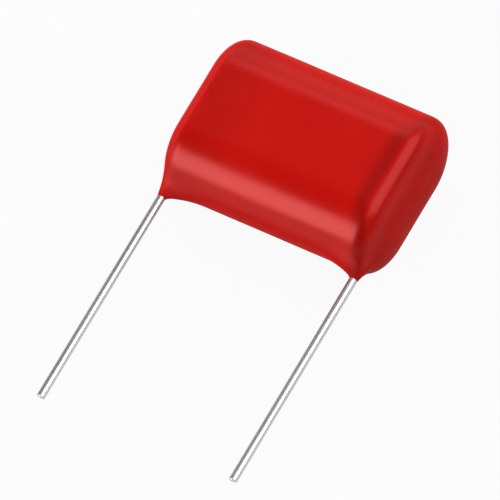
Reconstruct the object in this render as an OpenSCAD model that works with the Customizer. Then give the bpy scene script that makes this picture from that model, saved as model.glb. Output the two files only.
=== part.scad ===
// Dipped film capacitor with two straight leads, lying on one flat face.
// The middle of that face is the origin, X runs from lead to lead and the leads point along -Y.

/* [Leads] */
// Distance between the two lead wires, centre to centre
lead_pitch = 20; // [15:0.5:27.5]
// Diameter of a lead wire
lead_d = 0.8; // [0.6:0.05:1]
// Bare length of a lead, from the tip of its coated leg to the cut end
lead_len = 21.8; // [5:0.1:35]
// Thickness to which a lead's inner end is pressed flat for welding
tail_t = 0.45; // [0.3:0.05:0.6]
// Length of the flat weld tail above the winding's lower edge
tail_len = 10; // [4:0.5:11]

/* [Winding] */
// Height of the pressed film winding, across its two round edges
winding_h = 14; // [11:0.1:20]
// Thickness of the pressed film winding
winding_t = 7.6; // [5:0.1:9]
// Thickness of the metal sprayed on each end of the winding
spray_t = 0.5; // [0.3:0.05:0.8]

/* [Coating] */
// Coating over the winding's flat faces and round edges
coat_wall = 0.9; // [0.6:0.05:1.4]
// Coating outside each weld tail, at the ends of the body
end_wall = 1.1; // [0.9:0.05:2]
// How far the rounded ends reach in over the flat faces
end_reach = 2.3; // [1.5:0.1:3.5]
// Fullness of the rounded ends: 2 is a plain round, more is squarer
end_fullness = 2.6; // [2:0.1:3]

/* [Legs] */
// How far the coating runs down a lead below the body
leg_drop = 1.2; // [0.8:0.1:3]
// How far from a lead's axis its leg spreads inward along the body's lower edge
leg_run = 5; // [3:0.1:7]
// How far from a lead's axis its leg spreads across the body's thickness
leg_side = 2.3; // [1.5:0.1:3]
// How far from a lead's axis its leg spreads towards the body's end
leg_end = 1; // [0.8:0.05:1.2]
// Coating left round the wire at a leg's tip
leg_film = 0.12; // [0.08:0.02:0.2]

/* [Hidden] */
$fn = 64;

// The weld tail keeps the section area of the round wire it is pressed from
wire_area = PI * lead_d * lead_d / 4;
tail_w = (wire_area + tail_t * tail_t * (1 - PI / 4)) / tail_t;

// The sprayed ends lie against the inner faces of the weld tails
lead_x = lead_pitch / 2;
spray_x = lead_x - tail_t / 2;
winding_len = 2 * (spray_x - spray_t);

// The coating grows outward from the winding, to the same obround section, and from the tails
coat_t = winding_t + 2 * coat_wall;
coat_h = winding_h + 2 * coat_wall;
coat_w = lead_pitch + tail_t + 2 * end_wall;
mid_z = coat_t / 2;
core_x = coat_w / 2 - end_reach;
core_y = (coat_h - coat_t) / 2;

// A leg is a meniscus that ends in a thin sleeve round the wire
tip_y = -coat_h / 2 - leg_drop;
sleeve_len = 0.25;
meniscus_y = tip_y + sleeve_len;
sleeve_r = lead_d / 2 + leg_film;
sleeve_flare = 0.08;
sleeve_root = leg_drop + sleeve_len;

// The wire is round to just inside the leg's tip and flat from just below the winding
round_in = 0.3;
flat_out = 0.5;
press_y = tip_y + round_in;
flat_y = -winding_h / 2 - flat_out;
tail_y = -winding_h / 2 + tail_len;

// The round, pressed and flat lengths of a wire overlap by this much
slice = 0.02;

// Steps in which the skin's rounded edges and ends are drawn, and where the ends go flat
turn_step = 6;
end_turn = 84;
run_steps = 6;
press_fn = 24;

// Rise of a rounded end, from 0 to 1, made fuller than a plain round
function full(share) = pow(share, 2 / end_fullness);

// How far a leg spreads in the direction of a point beside the lead, out along X and across Z
function spread(out, across) =
    norm([out, across]) / norm([out / (out > 0 ? leg_end : leg_run), across / leg_side]);

// Share of the full leg that is left there: all of it at the wire, none where it meets the body
function meniscus(out, across) =
    norm([out, across]) <= lead_d / 2 ? 1 :
    let (reach = spread(out, across))
    pow(max(reach - norm([out, across]), 0) / (reach - lead_d / 2), 2);

// Point on the upper edge, and on the lower edge with its legs, at a turn about X
function upper(x, size, turn) =
    [x, core_y + mid_z * size * sin(turn), mid_z + mid_z * size * cos(turn)];
function lower(x, size, turn) =
    let (z = -mid_z * size * cos(turn))
    let (leg = meniscus(abs(x) - lead_x, z) * (-meniscus_y - core_y - mid_z * size))
    [x, -core_y - (mid_z * size + leg) * sin(turn), mid_z + z];

// Ring of points round the body at one station
function ring(x, size) = concat(
    [for (turn = [0:turn_step:180]) upper(x, size, turn)],
    [for (turn = [0:turn_step:180]) lower(x, size, turn)]
);

// Stations along X as [place, share of the full section], from the middle to an end
first_x = min(core_x, lead_x - leg_run) - leg_film;
half_stations = concat(
    [for (i = [0:run_steps - 1]) [first_x + (core_x - first_x) * i / run_steps, 1]],
    [for (turn = [0:turn_step:end_turn])
        [core_x + end_reach * full(sin(turn)) / full(sin(end_turn)), full(cos(turn))]]
);
last = len(half_stations) - 1;
stations = concat(
    [for (i = [last:-1:0]) [-half_stations[i][0], half_stations[i][1]]],
    half_stations
);

module skin() {
    rings = [for (s = stations) ring(s[0], s[1])];
    count = len(rings[0]);
    far = (len(rings) - 1) * count;
    sides = [
        for (i = [0:len(rings) - 2], j = [0:count - 1])
            let (a = i * count + j)
            let (b = i * count + (j + 1) % count)
            each [[a, b, b + count], [a, b + count, a + count]]
    ];
    ends = [[for (j = [count - 1:-1:0]) j], [for (j = [0:count - 1]) far + j]];
    polyhedron(points = [for (r = rings) each r], faces = concat(sides, ends));
}

module along_y(x, y) {
    translate([x, y, mid_z]) rotate([-90, 0, 0]) children();
}

module along_x(x) {
    translate([x, 0, mid_z]) rotate([90, 0, 90]) children();
}

module obround(length, width) {
    square([length - width, width], center = true);
    for (side = [-1, 1])
        translate([side * (length - width) / 2, 0]) circle(d = width);
}

module sleeve(side) {
    along_y(side * lead_x, tip_y)
        cylinder(h = sleeve_root, r1 = sleeve_r, r2 = sleeve_r + sleeve_root * sleeve_flare);
}

module tail_slab(height) {
    linear_extrude(height) rotate(90) obround(tail_w, tail_t);
}

module lead(side) {
    x = side * lead_x;
    along_y(x, tip_y - lead_len) cylinder(h = press_y + slice - tip_y + lead_len, d = lead_d);
    hull() {
        along_y(x, press_y) cylinder(h = slice, d = lead_d, $fn = press_fn);
        along_y(x, flat_y - slice) tail_slab(slice, $fn = press_fn);
    }
    along_y(x, flat_y - slice) tail_slab(tail_y - flat_y + slice);
}

module spray(side) {
    along_x(side * (spray_x - spray_t / 2))
        translate([0, 0, -spray_t / 2]) linear_extrude(spray_t) obround(winding_h, winding_t);
}

module film_winding() {
    color("silver")
        along_x(-winding_len / 2) linear_extrude(winding_len) obround(winding_h, winding_t);
}

module end_spray_left() {
    color("darkgray") spray(-1);
}

module end_spray_right() {
    color("darkgray") spray(1);
}

module lead_left() {
    color("lightgray") lead(-1);
}

module lead_right() {
    color("lightgray") lead(1);
}

module epoxy_coating() {
    color("firebrick")
        difference() {
            union() {
                skin();
                sleeve(-1);
                sleeve(1);
            }
            film_winding();
            end_spray_left();
            end_spray_right();
            lead_left();
            lead_right();
        }
}

epoxy_coating();
film_winding();
end_spray_left();
end_spray_right();
lead_left();
lead_right();
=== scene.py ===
# %% [markdown]
# # A dipped film capacitor
# The object is a small brick of wound plastic film that has been dipped in
# red epoxy, with two tinned wires that leave it through drawn-down legs.
# The engineering solids come first, as a fixed frame: they say how big
# everything is and where it sits. This lesson dresses that frame, so that
# each surface looks like the real material, and lights it like a small
# product photograph. All lengths are in metres.

# %% Load the solids
import math
import bpy
import numpy as np
from mathutils import Matrix, Vector


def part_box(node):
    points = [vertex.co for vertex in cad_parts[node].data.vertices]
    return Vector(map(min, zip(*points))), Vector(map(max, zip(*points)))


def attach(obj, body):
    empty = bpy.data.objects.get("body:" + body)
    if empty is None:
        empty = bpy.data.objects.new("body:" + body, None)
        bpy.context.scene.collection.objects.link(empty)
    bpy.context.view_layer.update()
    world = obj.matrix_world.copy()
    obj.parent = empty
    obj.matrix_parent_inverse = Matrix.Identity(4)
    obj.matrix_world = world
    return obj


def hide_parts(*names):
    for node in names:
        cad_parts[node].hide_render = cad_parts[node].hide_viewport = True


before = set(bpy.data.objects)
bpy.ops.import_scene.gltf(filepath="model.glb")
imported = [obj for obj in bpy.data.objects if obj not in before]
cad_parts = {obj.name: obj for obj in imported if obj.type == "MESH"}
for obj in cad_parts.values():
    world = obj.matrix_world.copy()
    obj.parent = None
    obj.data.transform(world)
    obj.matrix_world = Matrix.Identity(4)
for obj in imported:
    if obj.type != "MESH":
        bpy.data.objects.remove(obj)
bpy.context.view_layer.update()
print("solids:", sorted(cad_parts))

# %% [markdown]
# ## Sizes
# Nothing is typed here that the solids can tell. The coated body's width,
# height and thickness, the place of each lead and the wire's diameter come
# from the corners of their boxes. What a box can't tell, such as how soft
# the edges are, is repeated from the part's source.

# %% Read the sizes off the solids
MM = 0.001

coat_low, coat_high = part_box("epoxy_coating")
wire_low, wire_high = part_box("lead_right")

half_w = coat_high.x
half_h = coat_high.y
mid_z = coat_high.z / 2
tip_y = coat_low.y
lead_x = (wire_low.x + wire_high.x) / 2
wire_r = (wire_high.x - wire_low.x) / 2
tail_y = wire_high.y
cut_y = wire_low.y
tail_half_w = (wire_high.z - wire_low.z) / 2
print("body %.2f x %.2f x %.2f mm" % tuple(2 * half / MM for half in (half_w, half_h, mid_z)))
print("wire %.2f mm thick, leads %.1f mm apart" % (2 * wire_r / MM, 2 * lead_x / MM))

# %% Repeat the softness of the ends
END_REACH = 2.3 * MM
END_FULLNESS = 2.6

core_x = half_w - END_REACH
core_y = half_h - mid_z
print("flat core %.2f x %.2f mm" % (2 * core_x / MM, 2 * core_y / MM))

# %% [markdown]
# ## Camera
# A product photograph of something this small is taken from far away with
# a long lens, so that parallel edges stay parallel. The camera stands
# 1.6 m off at the front right corner and looks down at 60 degrees, and the
# picture is turned by 22 degrees, so that the body lies across it on a
# slant. The camera is built from its own three axes: right, up and back.

# %% Stand the camera
CAMERA_TURN = math.radians(49.2)
CAMERA_RISE = math.radians(60.5)
CAMERA_ROLL = math.radians(-22)
CAMERA_AWAY = 1.6
CAMERA_SEES_TO = 10
AIM = Vector((-1.240, -9.196, 1.832)) * MM
SEEN_WIDTH = 44.496 * MM
SENSOR = 36.0

away = Vector((math.sin(CAMERA_TURN) * math.cos(CAMERA_RISE),
               -math.cos(CAMERA_TURN) * math.cos(CAMERA_RISE),
               math.sin(CAMERA_RISE)))
level = Vector((math.cos(CAMERA_TURN), math.sin(CAMERA_TURN), 0))
right = level * math.cos(CAMERA_ROLL) + away.cross(level) * math.sin(CAMERA_ROLL)
camera = bpy.data.objects.new("camera", bpy.data.cameras.new("camera"))
camera.data.sensor_width = SENSOR
camera.data.lens = SENSOR * CAMERA_AWAY / SEEN_WIDTH
camera.data.clip_end = CAMERA_SEES_TO
camera.matrix_world = Matrix.Translation(AIM + away * CAMERA_AWAY) @ Matrix(
    (right, away.cross(right), away)).transposed().to_4x4()
bpy.context.collection.objects.link(camera)
bpy.context.scene.camera = camera
print("lens %.0f mm" % camera.data.lens)

# %% [markdown]
# ## A skin from rings
# The dipped body and the wires are both long forms whose cross-section
# changes along the way. Modelling one as a stack of closed rings, joined
# by four-sided faces, gives full control over every section and no stray
# faces. The two ends are closed with strips of quads, because a fan of
# triangles would pinch the smooth shading there.

# %% Helper: the faces of a stack of rings
def ring_faces(rings, points):
    start = np.arange(rings - 1)[:, None] * points
    here = np.arange(points)[None, :]
    after = (here + 1) % points
    quads = np.stack([start + here, start + after,
                      start + after + points, start + here + points], axis=-1)
    faces = quads.reshape(-1, 4).tolist()
    last = (rings - 1) * points
    for i in range(points // 2 - 1):
        a, b, c, d = i, i + 1, points - 2 - i, points - 1 - i
        faces.append([d, c, b, a])
        faces.append([last + a, last + b, last + c, last + d])
    return faces


print("two rings of four points make a box with", len(ring_faces(2, 4)), "faces")

# %% [markdown]
# The points of all the rings come as one numpy block. Blender builds the
# mesh from them and the faces in one call, which is much faster than
# adding vertices one by one.

# %% Helper: a smooth, closed piece from its rings
def skin_from_rings(name, points):
    mesh = bpy.data.meshes.new(name)
    mesh.from_pydata(points.reshape(-1, 3).tolist(), [], ring_faces(*points.shape[:2]))
    mesh.polygons.foreach_set("use_smooth", [True] * len(mesh.polygons))
    mesh.update()
    piece = bpy.data.objects.new(name, mesh)
    bpy.context.collection.objects.link(piece)
    print("%s: %d rings of %d points, %d faces" % (name, *points.shape[:2], len(mesh.polygons)))
    return piece


# %% [markdown]
# ## The dipped coat
# The winding is a flattened roll, so it has two flat faces and two round
# edges, and the epoxy follows them at an even thickness: its section is an
# obround. The ends are different. There the epoxy is drawn into a soft
# shoulder that leaves the flat face gently, turns quickly, and runs into
# an almost flat end. A bevel has one radius all along, so the shoulder is
# a quarter of a superellipse instead.
#
# The points of a ring are spaced evenly, except that a weight crowds them
# round the middle of the lower edge, where the legs are drawn.

# %% Lay out one ring: upper edge, face it lies on, lower edge, face on top
UPPER_STEPS = 72
LOWER_STEPS = 144
FLAT_STEPS = 14
CROWD = 2.5
CROWD_WIDTH = 1.1 * MM
FINE_TURNS = 6001


def crowded_turns(steps):
    turn = np.linspace(0, math.pi, FINE_TURNS)
    middle = (turn[1:] + turn[:-1]) / 2
    weight = 1 + CROWD * np.exp(-(mid_z * np.cos(middle) / CROWD_WIDTH) ** 2)
    so_far = np.concatenate([[0], np.cumsum(weight)])
    return np.interp(np.linspace(0, so_far[-1], steps + 1), so_far, turn)


upper = np.linspace(0, math.pi, UPPER_STEPS + 1)
lower = crowded_turns(LOWER_STEPS)[::-1]
flat = np.linspace(1, -1, FLAT_STEPS + 1)[1:-1]
none, one = np.zeros_like(flat), np.ones_like(flat)
rise = np.concatenate([np.sin(upper), none, -np.sin(lower), none])
lean = np.concatenate([np.cos(upper), -one, np.cos(lower), one])
side = np.concatenate([np.ones_like(upper), flat, -np.ones_like(lower), -flat])
print("points in one ring:", len(rise))

# %% [markdown]
# The rings stand at stations along the body. Over a shoulder they keep
# even distances along the bend, measured on a very fine line, and they
# crowd together near the wire, where the leg needs them.

# %% Space the stations over one shoulder
END_STEPS = 84
CAP_SIZE = 0.1
FINE_STATIONS = 20001
FINE_POWER = 5
LEAD_CROWD = 3
LEAD_CROWD_WIDTH = 0.9 * MM


def end_size(x):
    share = np.clip((x - core_x) / END_REACH, 0, 1)
    return (1 - share ** END_FULLNESS) ** (1 / END_FULLNESS)


fine_x = core_x + END_REACH * (1 - (1 - np.linspace(0, 1, FINE_STATIONS)) ** FINE_POWER)
length = np.hypot(np.diff(fine_x), mid_z * np.diff(end_size(fine_x)))
weight = 1 + LEAD_CROWD * np.exp(-((fine_x[1:] - lead_x) / LEAD_CROWD_WIDTH) ** 2)
so_far = np.concatenate([[0], np.cumsum(length * weight)])
bent_x = np.interp(np.linspace(0, so_far[-1], END_STEPS + 1), so_far, fine_x)
bent_x = bent_x[end_size(bent_x) > CAP_SIZE]
print("stations over one shoulder:", len(bent_x))

# %% Add the flat part, and mirror the stations to the left end
MIDDLE_STEPS = 10
RUN_STEPS = 26
LEG_RUN = 5 * MM

leg_from = lead_x - LEG_RUN
half_x = np.concatenate([np.linspace(0, leg_from, MIDDLE_STEPS + 1)[:-1],
                         np.linspace(leg_from, core_x, RUN_STEPS + 1)[:-1], bent_x])
station_x = np.concatenate([half_x[:0:-1], -half_x])[:, None]
print("stations from the right end to the left:", len(station_x))

# %% [markdown]
# ### The legs
# When the part is lifted out of the bath, epoxy clings to each wire and
# hangs on as a meniscus. It spreads far along the body's lower edge, less
# across its thickness, and hardly at all towards the body's end. The pull
# is strongest at the wire and fades with the square of the distance, and
# the last bit is a thin film that hugs the wire. So a leg needs no piece
# of its own: it is a downward pull on the points of the lower edge.

# %% Pull the lower edge down at each wire
LEG_SIDE = 2.3 * MM
LEG_END = 1.0 * MM
LEAST_SPREAD = 1.01 * wire_r
FILM_LENGTH = 0.25 * MM
FILM_FADE = 0.14 * MM
FILM_FROM = 0.9 * wire_r
TINY = 1e-9

x = np.repeat(station_x, len(rise), axis=1)
size = end_size(np.abs(x))
z = mid_z * size * lean
out = np.abs(x) - lead_x
far = np.maximum(np.hypot(out, z), TINY)
slant = np.hypot(out / np.where(out > 0, LEG_END, LEG_RUN), z / LEG_SIDE)
spread = np.maximum(far / np.maximum(slant, TINY), LEAST_SPREAD)
pull = np.clip((spread - far) / (spread - wire_r), 0, 1) ** 2
film = np.exp(-np.maximum(far - FILM_FROM, 0) / FILM_FADE)
drop = -(tip_y + FILM_LENGTH) - core_y - mid_z * size
leg = np.where(rise < 0, pull * drop + film * FILM_LENGTH, 0)
y = side * core_y + (mid_z * size + leg) * rise
print("lowest point of the legs: %.2f mm" % (y.min() / MM))

# %% Build the coat
coat = skin_from_rings("dipped_coat", np.stack([x, y, z + mid_z], axis=-1))

# %% [markdown]
# ### Unevenness
# A dipped coat is never a perfect form: it sags by a few hundredths of a
# millimetre over a few millimetres, and its reflections swim a little.
# Four long waves in different directions give that. They only ever press
# inward, so the coat stays inside the solid it stands for, and they fade
# out at the wires. A wave is written as its turn per millimetre along X, Y
# and Z, and where it starts.

# %% Let the coat sag a little
SAG = 0.018 * MM
WAVES = ((0.61, 0.83, 0.0, 1.3), (-0.57, 1.07, 0.0, 0.4),
         (0.45, 0.0, 0.93, -0.7), (0.0, 0.38, 1.21, 2.1))
STILL_NEAR_WIRE = 0.6
STILL_FADE = 2.0

count = len(coat.data.vertices)
points, normals = np.empty(count * 3), np.empty(count * 3)
coat.data.vertices.foreach_get("co", points)
coat.data.vertex_normals.foreach_get("vector", normals)
points, normals = points.reshape(-1, 3), normals.reshape(-1, 3)
px, py, pz = (points / MM).T
wave = sum(np.sin(kx * px + ky * py + kz * pz + start) for kx, ky, kz, start in WAVES)
from_wire = np.hypot(np.abs(px) - lead_x / MM, pz - mid_z / MM)
calm = np.clip((from_wire - STILL_NEAR_WIRE) / STILL_FADE, 0, 1)
press = SAG * (wave / len(WAVES) + 1) / 2 * np.where(py < 0, calm, 1)
coat.data.vertices.foreach_set("co", (points - normals * press[:, None]).ravel())
coat.data.update()
print("deepest sag: %.3f mm" % (press.max() / MM))

# %% Hand the coat to the frame
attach(coat, "root")
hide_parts("epoxy_coating")
print(coat.name, "stands for the solid epoxy_coating")

# %% [markdown]
# ## The leads
# Each lead is a tinned wire whose inner end is pressed flat and welded to
# the sprayed end of the winding, inside the coat. Outside it is plain
# round wire, cut off with a snip: the cut has a soft rim and leans a
# little, as the blades pinch before they shear. A ring that changes from a
# flat obround to a circle, and shrinks at the cut, gives all of that. The
# places where the wire goes flat are repeated from the part's source.

# %% Lay out the wire's two sections, round and flat
WIRE_POINTS = 48
TAIL_T = 0.45 * MM

angle = (np.arange(WIRE_POINTS) + 0.5) * 2 * math.pi / WIRE_POINTS
circle = wire_r * np.stack([np.cos(angle), np.sin(angle)], axis=-1)
tail_z = (np.sin(angle) * TAIL_T / 2
          + np.sign(np.sin(angle)) * (tail_half_w - TAIL_T / 2))
tail = np.stack([np.cos(angle) * TAIL_T / 2, tail_z], axis=-1)
print("flat tail %.2f x %.2f mm" % (TAIL_T / MM, 2 * tail_half_w / MM))

# %% Lay out the wire's stations, from the tail's top to the cut
FLAT_FROM = -7.5 * MM
ROUND_FROM = tip_y + 0.3 * MM
TAIL_TOP = 0.12 * MM
TAIL_TOP_SHARES = np.array([0, 0.15, 0.5, 1])
TAIL_STEPS_FROM = 1 * MM
TAIL_STEPS, PRESSED_STEPS, ROUND_STEPS = 6, 14, 60
CUT_FROM = 0.4 * MM

wire_y = np.concatenate([
    tail_y - TAIL_TOP * TAIL_TOP_SHARES,
    np.linspace(tail_y - TAIL_STEPS_FROM, FLAT_FROM, TAIL_STEPS),
    np.linspace(FLAT_FROM, ROUND_FROM, PRESSED_STEPS)[1:],
    np.linspace(ROUND_FROM, cut_y + CUT_FROM, ROUND_STEPS)[1:]])
print("stations along a wire:", len(wire_y))

# %% Helper: the rings of a wire from its tail to near the cut
TOP_SIZE = 0.8


def wire_rings(centre_x):
    rings = []
    for here in wire_y:
        flatness = np.clip((here - ROUND_FROM) / (FLAT_FROM - ROUND_FROM), 0, 1)
        flatness = flatness * flatness * (3 - 2 * flatness)
        inset = min((tail_y - here) / TAIL_TOP, 1)
        size = TOP_SIZE + (1 - TOP_SIZE) * math.sqrt(inset * (2 - inset))
        section = (circle * (1 - flatness) + tail * flatness) * size
        rings.append(np.stack([centre_x + section[:, 0], np.full(WIRE_POINTS, here),
                               mid_z + section[:, 1]], axis=-1))
    return rings


print("rings before the cut:", len(wire_rings(lead_x)))

# %% Helper: the rings of a snipped end
RIM = 0.07 * MM
RIM_STEPS = 7
CUT_LEAN = 0.1 * MM


def cut_rings(centre_x, lean_to):
    rings = []
    slope = CUT_LEAN * (1 - np.cos(angle - lean_to)) / 2
    for bend in np.linspace(0, math.pi / 2, RIM_STEPS):
        radius = wire_r - RIM * (1 - math.cos(bend))
        rings.append(np.stack([centre_x + np.cos(angle) * radius,
                               cut_y + slope + RIM * (1 - math.sin(bend)),
                               mid_z + np.sin(angle) * radius], axis=-1))
    return rings


print("rings round the cut:", len(cut_rings(lead_x, 0)))

# %% Build both leads, each with its own lean of the cut
LEFT_LEAN = 0.9
RIGHT_LEAN = 2.3


def build_lead(name, node, centre_x, lean_to):
    piece = skin_from_rings(name, np.array(wire_rings(centre_x) + cut_rings(centre_x, lean_to)))
    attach(piece, "root")
    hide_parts(node)
    return piece


leads = [build_lead("tinned_lead_left", "lead_left", -lead_x, LEFT_LEAN),
         build_lead("tinned_lead_right", "lead_right", lead_x, RIGHT_LEAN)]

# %% [markdown]
# ## Finishes
# No real surface is one even colour. Epoxy is a little mottled and has a
# faint orange peel, wire carries the marks of the drawing die, sprayed
# metal is a crust of frozen droplets. All of that is noise at some scale,
# stretched one way or another, so it is one shader node group with its
# own inputs, placed in each material with that material's values. It puts
# out a mask from 0 to 1 for colour and roughness, and a height for bump.

# %% Helpers: place a node, and link sockets
def add(tree, kind, label, **values):
    node = tree.nodes.new(kind)
    node.label = label
    for name, value in values.items():
        node.inputs[name.replace("_", " ")].default_value = value
    return node


def link(tree, *pairs):
    for start, end in pairs:
        tree.links.new(start, end)


print("helpers: add, link")

# %% Helpers: ramp a value, and combine two values
def ramp(tree, label, source, span, values=(0.0, 1.0)):
    node = add(tree, "ShaderNodeMapRange", label, From_Min=span[0], From_Max=span[1],
               To_Min=values[0], To_Max=values[1])
    node.interpolation_type = "SMOOTHSTEP"
    link(tree, (source, node.inputs["Value"]))
    return node.outputs["Result"]


def combine(tree, label, operation, first, second):
    node = add(tree, "ShaderNodeMath", label)
    node.operation = operation
    link(tree, (first, node.inputs[0]))
    if isinstance(second, float):
        node.inputs[1].default_value = second
    else:
        link(tree, (second, node.inputs[1]))
    return node.outputs[0]


print("helpers: ramp, combine")

# %% Open the shared grain group and name its sockets
LOW, HIGH = 0.35, 0.65

grain = bpy.data.node_groups.new("surface grain", "ShaderNodeTree")
for name, kind, value in (("Size", "NodeSocketFloat", 1 * MM),
                          ("Along", "NodeSocketVector", (1, 1, 1)),
                          ("Low", "NodeSocketFloat", LOW),
                          ("High", "NodeSocketFloat", HIGH)):
    socket = grain.interface.new_socket(name, in_out="INPUT", socket_type=kind)
    socket.default_value = value
for name in ("Mask", "Height"):
    grain.interface.new_socket(name, in_out="OUTPUT", socket_type="NodeSocketFloat")
print("group:", grain.name, [socket.name for socket in grain.interface.items_tree])

# %% Fill the grain group: scale the place, stretch it, and read a noise there
entry = grain.nodes.new("NodeGroupInput")
leave = grain.nodes.new("NodeGroupOutput")
where = add(grain, "ShaderNodeTexCoord", "place on the object")
spacing = add(grain, "ShaderNodeVectorMath", "one grain = one unit")
spacing.operation = "DIVIDE"
stretch = add(grain, "ShaderNodeVectorMath", "stretch the grain")
stretch.operation = "DIVIDE"
noise = add(grain, "ShaderNodeTexNoise", "grain", Scale=1.0, Detail=3.0, Roughness=0.5)
remap = add(grain, "ShaderNodeMapRange", "mask")
remap.interpolation_type = "SMOOTHERSTEP"
link(grain,
     (where.outputs["Object"], spacing.inputs[0]),
     (entry.outputs["Size"], spacing.inputs[1]),
     (spacing.outputs[0], stretch.inputs[0]),
     (entry.outputs["Along"], stretch.inputs[1]),
     (stretch.outputs[0], noise.inputs["Vector"]),
     (noise.outputs["Fac"], remap.inputs["Value"]),
     (entry.outputs["Low"], remap.inputs["From Min"]),
     (entry.outputs["High"], remap.inputs["From Max"]),
     (remap.outputs["Result"], leave.inputs["Mask"]),
     (noise.outputs["Fac"], leave.inputs["Height"]))
print("nodes in the group:", len(grain.nodes))

# %% [markdown]
# Every finish is then built the same way: two close colours mixed by one
# grain, a roughness that follows the same mask, and a finer grain as bump.
# Values that are the same all over sit on the shader itself. A Mix node
# has sockets for every kind of value, several with the same name, so its
# colour sockets are picked by number.

# %% Helpers: place the grain, and mix two colours
MIX_FIRST, MIX_SECOND, MIXED = 6, 7, 2


def place_grain(tree, label, size, along=(1, 1, 1)):
    node = add(tree, "ShaderNodeGroup", label)
    node.node_tree = grain
    for name, value in (("Size", size), ("Along", along), ("Low", LOW), ("High", HIGH)):
        node.inputs[name].default_value = value
    return node


def colour_mix(tree, label):
    node = add(tree, "ShaderNodeMix", label)
    node.data_type = "RGBA"
    return node


print("helpers: place_grain, colour_mix")

# %% Helper: a finish from two grains
def make_finish(name, colours, roughness, mottle, fine, bump, **shader_values):
    material = bpy.data.materials.new(name)
    material.use_nodes = True
    tree = material.node_tree
    shader = tree.nodes["Principled BSDF"]
    for socket, value in shader_values.items():
        shader.inputs[socket.replace("_", " ")].default_value = value
    patch = place_grain(tree, "mottling", *mottle)
    peel = place_grain(tree, "fine relief", *fine)
    tint = colour_mix(tree, "colour")
    for socket, value in zip((MIX_FIRST, MIX_SECOND), colours):
        tint.inputs[socket].default_value = (*value, 1)
    rough = add(tree, "ShaderNodeMapRange", "roughness", To_Min=roughness[0], To_Max=roughness[1])
    relief = add(tree, "ShaderNodeBump", "relief", Strength=bump[0], Distance=bump[1])
    link(tree,
         (patch.outputs["Mask"], tint.inputs["Factor"]),
         (tint.outputs[MIXED], shader.inputs["Base Color"]),
         (patch.outputs["Mask"], rough.inputs["Value"]),
         (rough.outputs["Result"], shader.inputs["Roughness"]),
         (peel.outputs["Height"], relief.inputs["Height"]),
         (relief.outputs["Normal"], shader.inputs["Normal"]))
    print("mixed", name)
    return material


# %% [markdown]
# ### Red epoxy
# The coat is opaque pigmented epoxy, glossy but not polished. Its gloss
# takes on some of the red of the pigment close under the surface, so the
# highlights look red to pink instead of white. The mottling is very faint
# and several millimetres wide, and the orange peel is finer than a
# millimetre and only a few micrometres deep. A little sheen stands for the
# fine bloom that such a coat keeps, and shows at the rims.

# %% Mix the red epoxy
red_epoxy = make_finish(
    "red epoxy",
    colours=((0.48, 0.0022, 0.0004), (0.50, 0.0026, 0.0005)),
    roughness=(0.278, 0.298),
    mottle=(5 * MM,), fine=(0.7 * MM,), bump=(0.1, 0.006 * MM),
    IOR=1.6, Specular_Tint=(1.0, 0.28, 0.26, 1),
    Sheen_Weight=0.2, Sheen_Roughness=0.3, Sheen_Tint=(1.0, 0.5, 0.48, 1))
tree = red_epoxy.node_tree
shader = tree.nodes["Principled BSDF"]
spot = add(tree, "ShaderNodeSeparateXYZ", "place on the body")
link(tree, (tree.nodes.new("ShaderNodeTexCoord").outputs["Object"], spot.inputs[0]))
on_x, on_y = spot.outputs["X"], spot.outputs["Y"]

# %% [markdown]
# Just inside the shoulders, where the flat faces bend into the ends, the red
# is painted darker as shade: a band of painted shade, narrow and clear on the
# right, wide and faint on the left. The right-hand band runs straight
# across the flat faces, bends outward round the edges into the corners,
# and is weaker on the upper edge. Both are painted by the place on the
# object, as a mix over the mottled red: each is a ramp that begins times a
# ramp that ends.

# %% Shape the right-hand band of painted shade
RIGHT_SHADE_STRENGTH = 0.62
UPPER_SHARE = 0.45
CORNER_SHIFT = 1.1 * MM

from_middle = combine(tree, "from the middle", "ABSOLUTE", on_y, 0.0)
shift = ramp(tree, "outward at the edges", from_middle,
             (3.0 * MM, 7.0 * MM), (0.0, CORNER_SHIFT))
across = combine(tree, "across the band", "SUBTRACT", on_x, shift)
begins = ramp(tree, "band begins", across, (7.4 * MM, 8.7 * MM))
ends = ramp(tree, "band ends", across, (9.0 * MM, 9.6 * MM), (RIGHT_SHADE_STRENGTH, 0.0))
band = combine(tree, "band", "MULTIPLY", begins, ends)
weaker = ramp(tree, "weaker on the upper edge", on_y,
              (3.3 * MM, 4.8 * MM), (1.0, UPPER_SHARE))
right_shade = combine(tree, "right band", "MULTIPLY", band, weaker)
print("right band: %.2f of the deeper red" % RIGHT_SHADE_STRENGTH)

# %% Shape the left-hand band of painted shade
LEFT_SHADE_STRENGTH = 0.22

begins = ramp(tree, "left band begins", on_x, (-4.0 * MM, -8.8 * MM))
ends = ramp(tree, "left band ends", on_x, (-9.2 * MM, -9.9 * MM), (LEFT_SHADE_STRENGTH, 0.0))
left_shade = combine(tree, "left band", "MULTIPLY", begins, ends)
print("left band: %.2f of the deeper red" % LEFT_SHADE_STRENGTH)

# %% Paint both bands of shade over the mottled red
# The colour below is painted shade at the bend into each end. It is not a red the coat has.
SHADE_RED = (0.22, 0.0005, 0.0, 1)

shaded = colour_mix(tree, "deeper red")
shaded.inputs[MIX_SECOND].default_value = SHADE_RED
link(tree,
     (combine(tree, "both bands", "MAXIMUM", right_shade, left_shade), shaded.inputs["Factor"]),
     (shader.inputs["Base Color"].links[0].from_socket, shaded.inputs[MIX_FIRST]),
     (shaded.outputs[MIXED], shader.inputs["Base Color"]))
print("deeper red inside both shoulders")

# %% [markdown]
# The legs are thin and cure duller than the body. And a look along real
# epoxy, at a grazing angle, meets all its fine unevenness, which spreads
# the reflection of the white room: a Layer Weight adds roughness there, so
# that the rims stay red.

# %% Dull the legs and the grazing look, and dress the coat
GRAZING_DULL = 0.75
LEG_DULL = 0.5


def dress(piece, material):
    if not piece.material_slots:
        piece.data.materials.append(material)
    for slot in piece.material_slots:
        slot.material = material
    print(piece.name, "wears", material.name)


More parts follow.
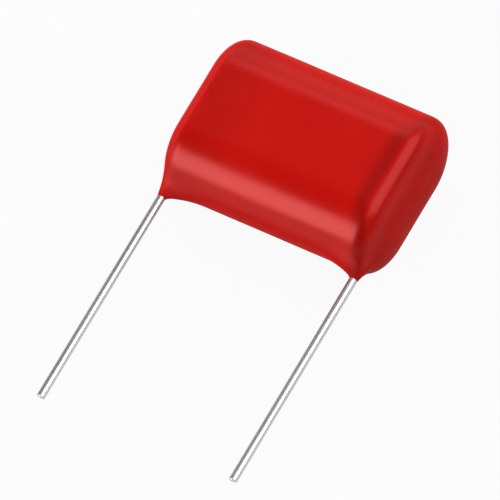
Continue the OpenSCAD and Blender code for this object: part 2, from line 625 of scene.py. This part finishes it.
graze = add(tree, "ShaderNodeLayerWeight", "grazing look", Blend=0.5)
dull_look = ramp(tree, "duller at a grazing look", graze.outputs["Facing"],
                 (0.2, 0.62), (0.0, GRAZING_DULL))
dull_legs = ramp(tree, "duller legs", on_y, (-7.4 * MM, -8.6 * MM), (0.0, LEG_DULL))
dull = shader.inputs["Roughness"].links[0].from_socket
for label, extra in (("with the look", dull_look), ("with the legs", dull_legs)):
    dull = combine(tree, label, "ADD", dull, extra)
link(tree, (dull, shader.inputs["Roughness"]))
dress(coat, red_epoxy)

# %% [markdown]
# ### Tinned wire
# Bright tin over a steel or copper core: a metal, a little frosted, with
# fine lines along its length from the drawing die. The grain is therefore
# stretched thirty to forty times along the wire.

# %% Dress the leads
tinned_wire = make_finish(
    "tinned wire",
    colours=((0.80, 0.80, 0.81), (0.88, 0.88, 0.88)),
    roughness=(0.3, 0.36),
    mottle=(0.25 * MM, (1, 30, 1)), fine=(0.12 * MM, (1, 40, 1)), bump=(0.03, 0.004 * MM),
    Metallic=1.0)
for lead in leads:
    dress(lead, tinned_wire)

# %% [markdown]
# ### What the coat hides
# The winding and its two sprayed ends keep their engineering shapes, and
# still get their own finishes, for a view with the coat taken off. The
# winding is silvery film, wound in thousands of layers that show as fine
# lines along it. The spray is dull grey metal with a coarse grain.

# %% Dress the winding
wound_film = make_finish(
    "wound film",
    colours=((0.50, 0.51, 0.53), (0.66, 0.67, 0.68)),
    roughness=(0.22, 0.36),
    mottle=(0.6 * MM, (20, 1, 1)), fine=(0.1 * MM, (60, 1, 1)), bump=(0.3, 0.01 * MM),
    Metallic=0.6)
dress(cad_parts["film_winding"], wound_film)

# %% Dress the sprayed ends
sprayed_metal = make_finish(
    "sprayed metal",
    colours=((0.25, 0.25, 0.26), (0.42, 0.42, 0.43)),
    roughness=(0.55, 0.8),
    mottle=(0.25 * MM,), fine=(0.12 * MM,), bump=(0.8, 0.05 * MM),
    Metallic=0.8)
for node in ("end_spray_left", "end_spray_right"):
    dress(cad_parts[node], sprayed_metal)

# %% [markdown]
# ## Floor
# The photograph's ground is pure white. Lighting a floor until it burns
# out would wash out the object too, so the floor is told apart by kind of
# ray instead: the camera sees mostly an even white with some of the lit
# floor in it, which keeps a faint shadow, and reflections see a little of
# that white. All other rays see an ordinary pale floor that bounces soft
# light upward.

# %% Helpers: how much white a ray sees, and a blend by that share
def white_share(tree, direct, mirrored):
    path = tree.nodes.new("ShaderNodeLightPath")
    seen = combine(tree, "seen by the camera", "MULTIPLY", path.outputs["Is Camera Ray"], direct)
    mirror = combine(tree, "seen in metal or glass", "MAXIMUM",
                     path.outputs["Is Glossy Ray"], path.outputs["Is Transmission Ray"])
    dimmer = combine(tree, "dimmer there", "MULTIPLY", mirror, mirrored)
    return combine(tree, "share of white", "MAXIMUM", seen, dimmer)


def blend_white(tree, share, plain, white, output):
    blend = tree.nodes.new("ShaderNodeMixShader")
    link(tree, (share, blend.inputs[0]), (plain.outputs[0], blend.inputs[1]),
         (white.outputs[0], blend.inputs[2]), (blend.outputs[0], output.inputs["Surface"]))


print("helpers: white_share, blend_white")

# %% Lay the floor
FLOOR_HALF = 1.5
FLOOR_BELOW = 0.02 * MM
CORNERS = ((-1, -1), (1, -1), (1, 1), (-1, 1))

floor_mesh = bpy.data.meshes.new("floor")
floor_mesh.from_pydata([(sx * FLOOR_HALF, sy * FLOOR_HALF, -FLOOR_BELOW) for sx, sy in CORNERS],
                       [], [(0, 1, 2, 3)])
floor = bpy.data.objects.new("floor", floor_mesh)
bpy.context.collection.objects.link(floor)
print("floor: %.0f m square, %.2f mm under the part" % (2 * FLOOR_HALF, FLOOR_BELOW / MM))

# %% Paint the floor
FLOOR_PALE = (0.55, 0.55, 0.55, 1)
FLOOR_ROUGHNESS = 0.9
FLOOR_WHITE_SEEN = 0.93
FLOOR_WHITE_MIRRORED = 0.15
WHITE = (1, 1, 1, 1)

white_floor = bpy.data.materials.new("white floor")
white_floor.use_nodes = True
tree = white_floor.node_tree
paint = tree.nodes["Principled BSDF"]
for name, value in (("Base Color", FLOOR_PALE), ("Roughness", FLOOR_ROUGHNESS),
                    ("Specular IOR Level", 0.0)):
    paint.inputs[name].default_value = value
glow = add(tree, "ShaderNodeEmission", "even white", Color=WHITE, Strength=1.0)
blend_white(tree, white_share(tree, FLOOR_WHITE_SEEN, FLOOR_WHITE_MIRRORED),
            paint, glow, tree.nodes["Material Output"])
floor.data.materials.append(white_floor)
print(floor.name, "wears", white_floor.name)

# %% [markdown]
# ## Light
# Glossy things are lit by what they reflect. Each softbox below is given
# by the direction it stands in, seen from the body, the angles it covers
# and its brightness, because those decide where its reflection lies on the
# rounded edges. The key, low on the front left, makes the broad gleam
# along the lower edge. The right box makes the one along the right-hand
# shoulder and the white middle of the wires, and the back panel the soft
# one on the upper edge. The left panel and the back fill light the colour
# alone and show in no reflection, so the wires keep a grey side.

# %% Helper: a softbox in a given direction
BODY = Vector((0, 0, mid_z))
SOFTBOX_AWAY = 0.6


def softbox(name, toward, wide, tall, brightness, in_reflections=True):
    toward = Vector(toward).normalized()
    across = Vector((0, 0, 1)).cross(toward).normalized()
    lamp = bpy.data.lights.new(name, "AREA")
    lamp.shape = "RECTANGLE"
    lamp.size = 2 * SOFTBOX_AWAY * math.tan(math.radians(wide / 2))
    lamp.size_y = 2 * SOFTBOX_AWAY * math.tan(math.radians(tall / 2))
    lamp.energy = brightness * math.pi * lamp.size * lamp.size_y
    holder = bpy.data.objects.new(name, lamp)
    holder.matrix_world = Matrix.Translation(BODY + toward * SOFTBOX_AWAY) @ Matrix(
        (across, toward.cross(across), toward)).transposed().to_4x4()
    holder.visible_camera = False
    holder.visible_glossy = in_reflections
    bpy.context.collection.objects.link(holder)
    print("%s: %.2f x %.2f m, %.2f W" % (name, lamp.size, lamp.size_y, lamp.energy))


# %% Stand the softboxes
softbox("key", (-0.48, -0.80, 0.44), wide=36, tall=37, brightness=5.7)
softbox("right box", (0.568, 0.320, 0.758), wide=48, tall=50, brightness=2.5)
softbox("back panel", (-0.380, 0.580, 0.72), wide=24, tall=16, brightness=1.4)
softbox("left panel", (-0.92, 0.30, 0.15), wide=60, tall=24, brightness=4.0,
        in_reflections=False)
softbox("back fill", (-0.1, 0.9, 0.4), wide=60, tall=40, brightness=2.1,
        in_reflections=False)

# %% [markdown]
# The rest of the room is grey, a little paler on the right, which gives the
# end of the body some light and the wires their grey side. The camera sees
# white, and reflections see a little of that white too.

# %% Paint the room
ROOM_GREY = 0.15
ROOM_RIGHT_GREY = 0.18
ROOM_WHITE_SEEN = 1.0
ROOM_WHITE_MIRRORED = 0.06

world = bpy.data.worlds.new("room")
bpy.context.scene.world = world
world.use_nodes = True
tree = world.node_tree
sky = tree.nodes["Background"]
sky.inputs["Strength"].default_value = 1.0
axis = add(tree, "ShaderNodeSeparateXYZ", "direction")
link(tree, (tree.nodes.new("ShaderNodeTexCoord").outputs["Generated"], axis.inputs[0]))
grey = ramp(tree, "paler on the right", axis.outputs["X"], (0.0, 0.6),
            (ROOM_GREY, ROOM_RIGHT_GREY))
link(tree, (grey, sky.inputs["Color"]))
white = add(tree, "ShaderNodeBackground", "even white", Color=WHITE, Strength=1.0)
blend_white(tree, white_share(tree, ROOM_WHITE_SEEN, ROOM_WHITE_MIRRORED),
            sky, white, tree.nodes["World Output"])
bpy.context.scene.view_settings.view_transform = "Standard"
print("room painted, %.2f to %.2f grey" % (ROOM_GREY, ROOM_RIGHT_GREY))
